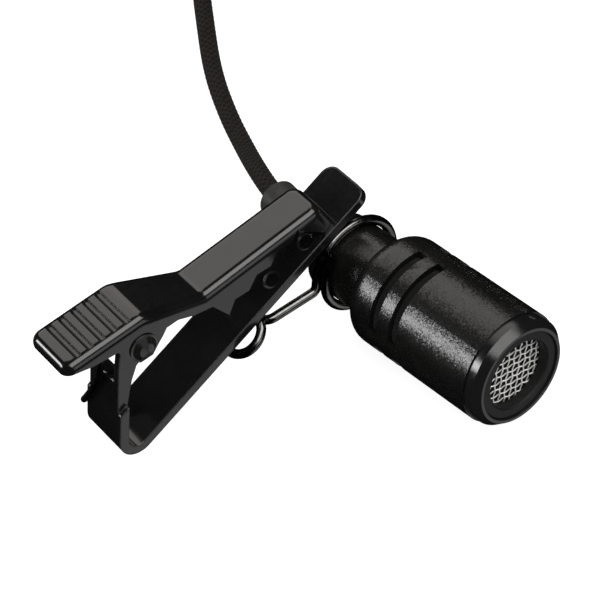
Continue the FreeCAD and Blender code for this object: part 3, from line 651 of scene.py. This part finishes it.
def woven_cloth(name, colour, light, pitch):
    """A plain weave on every face, from waves along the three axes."""
    look = Look(name, colour, 0.85, Specular_IOR_Level=0.25, Sheen_Weight=0.3, Sheen_Roughness=0.4)
    split = look.add("ShaderNodeSeparateXYZ", {0: look.place})
    waves = [look.maths("SINE", look.maths("MULTIPLY", split.outputs[axis], math.pi / pitch))
             for axis in "XYZ"]
    flat = look.maths("MULTIPLY", waves[0], waves[1])
    deep = look.maths("MULTIPLY", flat, waves[2])
    weave = look.maths("ADD", deep, look.maths("MULTIPLY", flat, 0.5))
    weave = look.maths("ADD", weave, look.noise(pitch / 3, detail=3.0))
    # The raised threads are paler than the dips between them: painted shade in the dips
    look.tint(look.ramp(weave, 0.1, 1.0), light)
    look.bump(weave, pitch / 10)
    return look


def brass():
    look = Look("brass_nut", (0.68, 0.48, 0.2), 0.26, Metallic=1.0)
    lines = look.turned_lines(0.00009)
    look.tint(look.ramp(lines, 0.4, 0.7, 0.7), (0.5, 0.34, 0.13))
    look.bump(lines, 0.000006)
    return look


def nickel_ferrule():
    look = Look("ferrule", (0.6, 0.59, 0.56), 0.24, Metallic=1.0)
    look.dull_patches(0.0006, 0.4)
    look.patches(0.0015, (0.45, 0.44, 0.41), 0.5, 0.8)
    look.grain(0.00015, 0.000006, stretch=(1, 8, 1))
    return look


def braided_jacket():
    """Two sets of crossing strands, each going over and under the other, made of fine fibres."""
    look = Look("cable_jacket", (0.006, 0.0052, 0.0046), 0.9, Specular_IOR_Level=0.1,
                Sheen_Weight=0.01, Sheen_Roughness=0.5)
    along = look.add("ShaderNodeUVMap", uv_map="along").outputs[0]
    split = look.add("ShaderNodeSeparateXYZ", {0: along})
    turn = look.maths("MULTIPLY", split.outputs["X"], math.pi * STRANDS)
    twist = look.maths("MULTIPLY", split.outputs["Y"], math.pi * STRANDS)
    one = look.maths("COSINE", look.maths("ADD", turn, twist))
    two = look.maths("COSINE", look.maths("SUBTRACT", turn, twist))
    over = look.maths("MULTIPLY_ADD", look.maths("MULTIPLY", one, two), 0.5, 0.5)
    high_one = look.maths("MULTIPLY_ADD", over, STRAND_DIP, 1 - STRAND_DIP)
    high_two = look.maths("MULTIPLY_ADD", over, -STRAND_DIP, 1.0)
    crest = look.maths("MAXIMUM", look.maths("MULTIPLY", look.maths("ABSOLUTE", one), high_one),
                       look.maths("MULTIPLY", look.maths("ABSOLUTE", two), high_two))
    # The strands are paler on their crests and darker in the hollows between them: painted shade in
    # the hollows
    look.tint(look.ramp(crest, 0.4, 1.0), (0.019, 0.0165, 0.0148))
    fibres = look.noise(0.00009, detail=3.0, rough=0.7)
    look.tint(look.ramp(fibres, 0.58, 0.78, 0.7), (0.045, 0.039, 0.034))
    look.patches(0.0011, (0.007, 0.006, 0.0053), 0.52, 0.75, 0.55)
    look.bump(crest, 0.00006)
    look.bump(fibres, 0.00004)
    return look


def moulded_plastic():
    look = Look("plug_plastic", (0.014, 0.014, 0.0145), 0.4, Specular_IOR_Level=0.5)
    look.dull_patches(0.001, 0.5)
    look.tint(look.edge_share(0.0002), grey(0.03))
    look.grain(0.00012, 0.000012, detail=3.0)
    return look


def nickel_contact():
    look = Look("plug_contact", (0.78, 0.76, 0.71), 0.2, Metallic=1.0)
    look.dull_patches(0.0008, 0.34, high=0.75)
    look.patches(0.002, (0.6, 0.585, 0.55), 0.5, 0.8, 0.6)
    look.grain(0.0002, 0.000004, stretch=(3, 4, 1))
    return look


def insulator_ring():
    look = Look("plug_insulator", grey(0.012), 0.35, Specular_IOR_Level=0.5)
    look.patches(0.0005, grey(0.022), 0.45, 0.75)
    look.grain(0.0002, 0.000008)
    return look


def gloss_coat(name, colour, roughness, pale):
    """Baked enamel over metal."""
    look = Look(name, colour, roughness, Specular_IOR_Level=0.55, Coat_Weight=0.35,
                Coat_Roughness=0.12)
    look.dull_patches(0.0004, roughness + 0.05, high=0.75, detail=3.0)
    look.patches(0.004, pale, 0.45, 0.75, 0.6, detail=4.0)
    return look


def gloss_coat_with_worn_lit_edges(name, colour, roughness, pale, edge_radius):
    """The same enamel, slightly wavy, with paler edges rounded to this radius. The paler edges are
    partly wear and partly a painted highlight.
    """
    look = gloss_coat(name, colour, roughness, pale)
    # Paler near sharp edges: some wear, and a painted highlight along the plate's thin edge and the
    # pin's rim
    look.tint(look.edge_share(0.0005, 0.03, 0.3), tuple(c * 4 for c in pale))
    look.soft_edges(edge_radius)
    look.grain(0.0016, 0.000008, detail=1.0)
    return look


def dark_wire(name, colour, roughness):
    look = Look(name, colour, roughness, Metallic=1.0)
    look.dull_patches(0.0008, roughness + 0.12)
    look.patches(0.0005, tuple(c * 1.7 for c in colour), 0.5, 0.8, 0.7, detail=3.0)
    look.grain(0.00025, 0.000006)
    return look


def materials():
    """The look of every CAD node and new piece, by name."""
    anodised = anodised_black()
    boot = rubber("boot_rubber", (0.02, 0.0196, 0.019), (0.03, 0.0294, 0.0285), 0.45)
    contact = nickel_contact()
    enamel = ((0.0045, 0.0045, 0.0047), 0.16, grey(0.008))
    pin_enamel = ((0.006, 0.0058, 0.0056), 0.24, (0.007, 0.0068, 0.0065))
    return {
        "head_barrel": anodised,
        "neck_body": anodised,
        "front_bezel": polished_bezel(),
        "grille_ring": matte_washer(),
        "woven_grille": bright_wire(),
        "wind_foam": dark_foam(),
        "capsule_can": capsule_aluminium(),
        "capsule_board": green_board(),
        "capsule_gasket": rubber("soft_rubber", grey(0.012), grey(0.02), 0.6),
        "solder_joints": solder(),
        "capsule_leads": enamelled_wire(),
        "port_screen": woven_cloth("damping_cloth", grey(0.002), grey(0.006), 0.00012),
        "neck_nut": brass(),
        "cable_clamp": nickel_ferrule(),
        "strain_relief": boot,
        "plug_relief": boot,
        "braided_cable": braided_jacket(),
        "hook_loop_strap": woven_cloth("strap_cloth", (0.01, 0.01, 0.0105), (0.035, 0.035, 0.037),
                                       0.00035),
        "plug_handle": moulded_plastic(),
        "plug_sleeve": contact,
        "plug_ring": contact,
        "plug_tip": contact,
        "plug_insulators": insulator_ring(),
        "clip_base": gloss_coat_with_worn_lit_edges("clip_base_black", *enamel, 0.0003),
        "upper_jaw": gloss_coat("clip_black", *enamel),
        "pivot_pin": gloss_coat_with_worn_lit_edges("pin_black", *pin_enamel, 0.0001),
        "torsion_spring": dark_wire("spring_wire", (0.15, 0.147, 0.142), 0.26),
        "holder_wire": dark_wire("holder_wire", (0.16, 0.157, 0.154), 0.15),
    }


def dress():
    """Puts each look on its piece."""
    for name, look in materials().items():
        piece = bpy.data.objects[name]
        piece.data.materials.clear()
        piece.data.materials.append(look.material)


# ---------------------------------------------------------------- floor and light

FLOOR_REACH = 2
LIGHT_DISTANCE = 0.6
LIT_SPOT = Vector((-0.008, 0.004, 0))
SKY_STRENGTH = 0.3


def make_floor():
    """A plain pale floor, bright enough to read as white paper."""
    paper = Look("floor_paper", grey(0.35), 0.9, Specular_IOR_Level=0.1,
                 Emission_Color=(1, 1, 1, 1), Emission_Strength=0.9)
    paper.patches(0.002, grey(0.34), 0.3, 0.8, 0.2)
    corners = [(x * FLOOR_REACH, y * FLOOR_REACH, GROUND)
               for x, y in ((-1, -1), (1, -1), (1, 1), (-1, 1))]
    floor = mesh_piece("floor", corners, [(0, 1, 2, 3)])
    floor.data.materials.append(paper.material)
    floor.visible_glossy = floor.visible_shadow = False


def softbox(name, azimuth, elevation, width, height, radiance, warmth=(1, 1, 1)):
    """A soft light at that direction from the clip, facing it. Azimuth 0 is -Y, and 90 is +X."""
    turn, rise = math.radians(azimuth), math.radians(elevation)
    level = math.cos(rise)
    way = Vector((math.sin(turn) * level, -math.cos(turn) * level, math.sin(rise)))
    light = bpy.data.lights.new(name, "AREA")
    light.shape = "RECTANGLE"
    light.size, light.size_y = width, height
    light.energy = radiance * math.pi * width * height
    light.color = warmth
    lamp = placed(name, light)
    lamp.location = LIT_SPOT + way * LIGHT_DISTANCE
    lamp.rotation_mode = "QUATERNION"
    lamp.rotation_quaternion = way.to_track_quat("Z", "Y")


def make_studio():
    """The floor, five soft lights and a white sky that doesn't show in the gloss."""
    make_floor()
    softbox("overhead_box", 15, 62, 0.7, 0.42, 3.5, (1, 0.985, 0.965))
    softbox("front_fill", 10, 12, 0.5, 0.3, 0.95)
    softbox("paper_bounce", 20, -48, 0.6, 0.34, 0.55)
    softbox("rear_strip", -129, 24, 0.26, 0.16, 11.5)
    softbox("rear_box", 155, 43, 0.5, 0.42, 1.45, (1, 0.955, 0.91))
    # The scene has its world before the settings, because Cycles looks for it when one changes
    world = bpy.context.scene.world = bpy.data.worlds.new("studio")
    world.use_nodes = True
    sky = world.node_tree.nodes["Background"]
    sky.inputs["Color"].default_value = (1, 1, 1, 1)
    sky.inputs["Strength"].default_value = SKY_STRENGTH
    world.cycles_visibility.glossy = False
    bpy.context.scene.view_settings.view_transform = "Standard"


make_camera()
make_cable(make_strap())
make_grille()
make_spring()
dress()
make_studio()
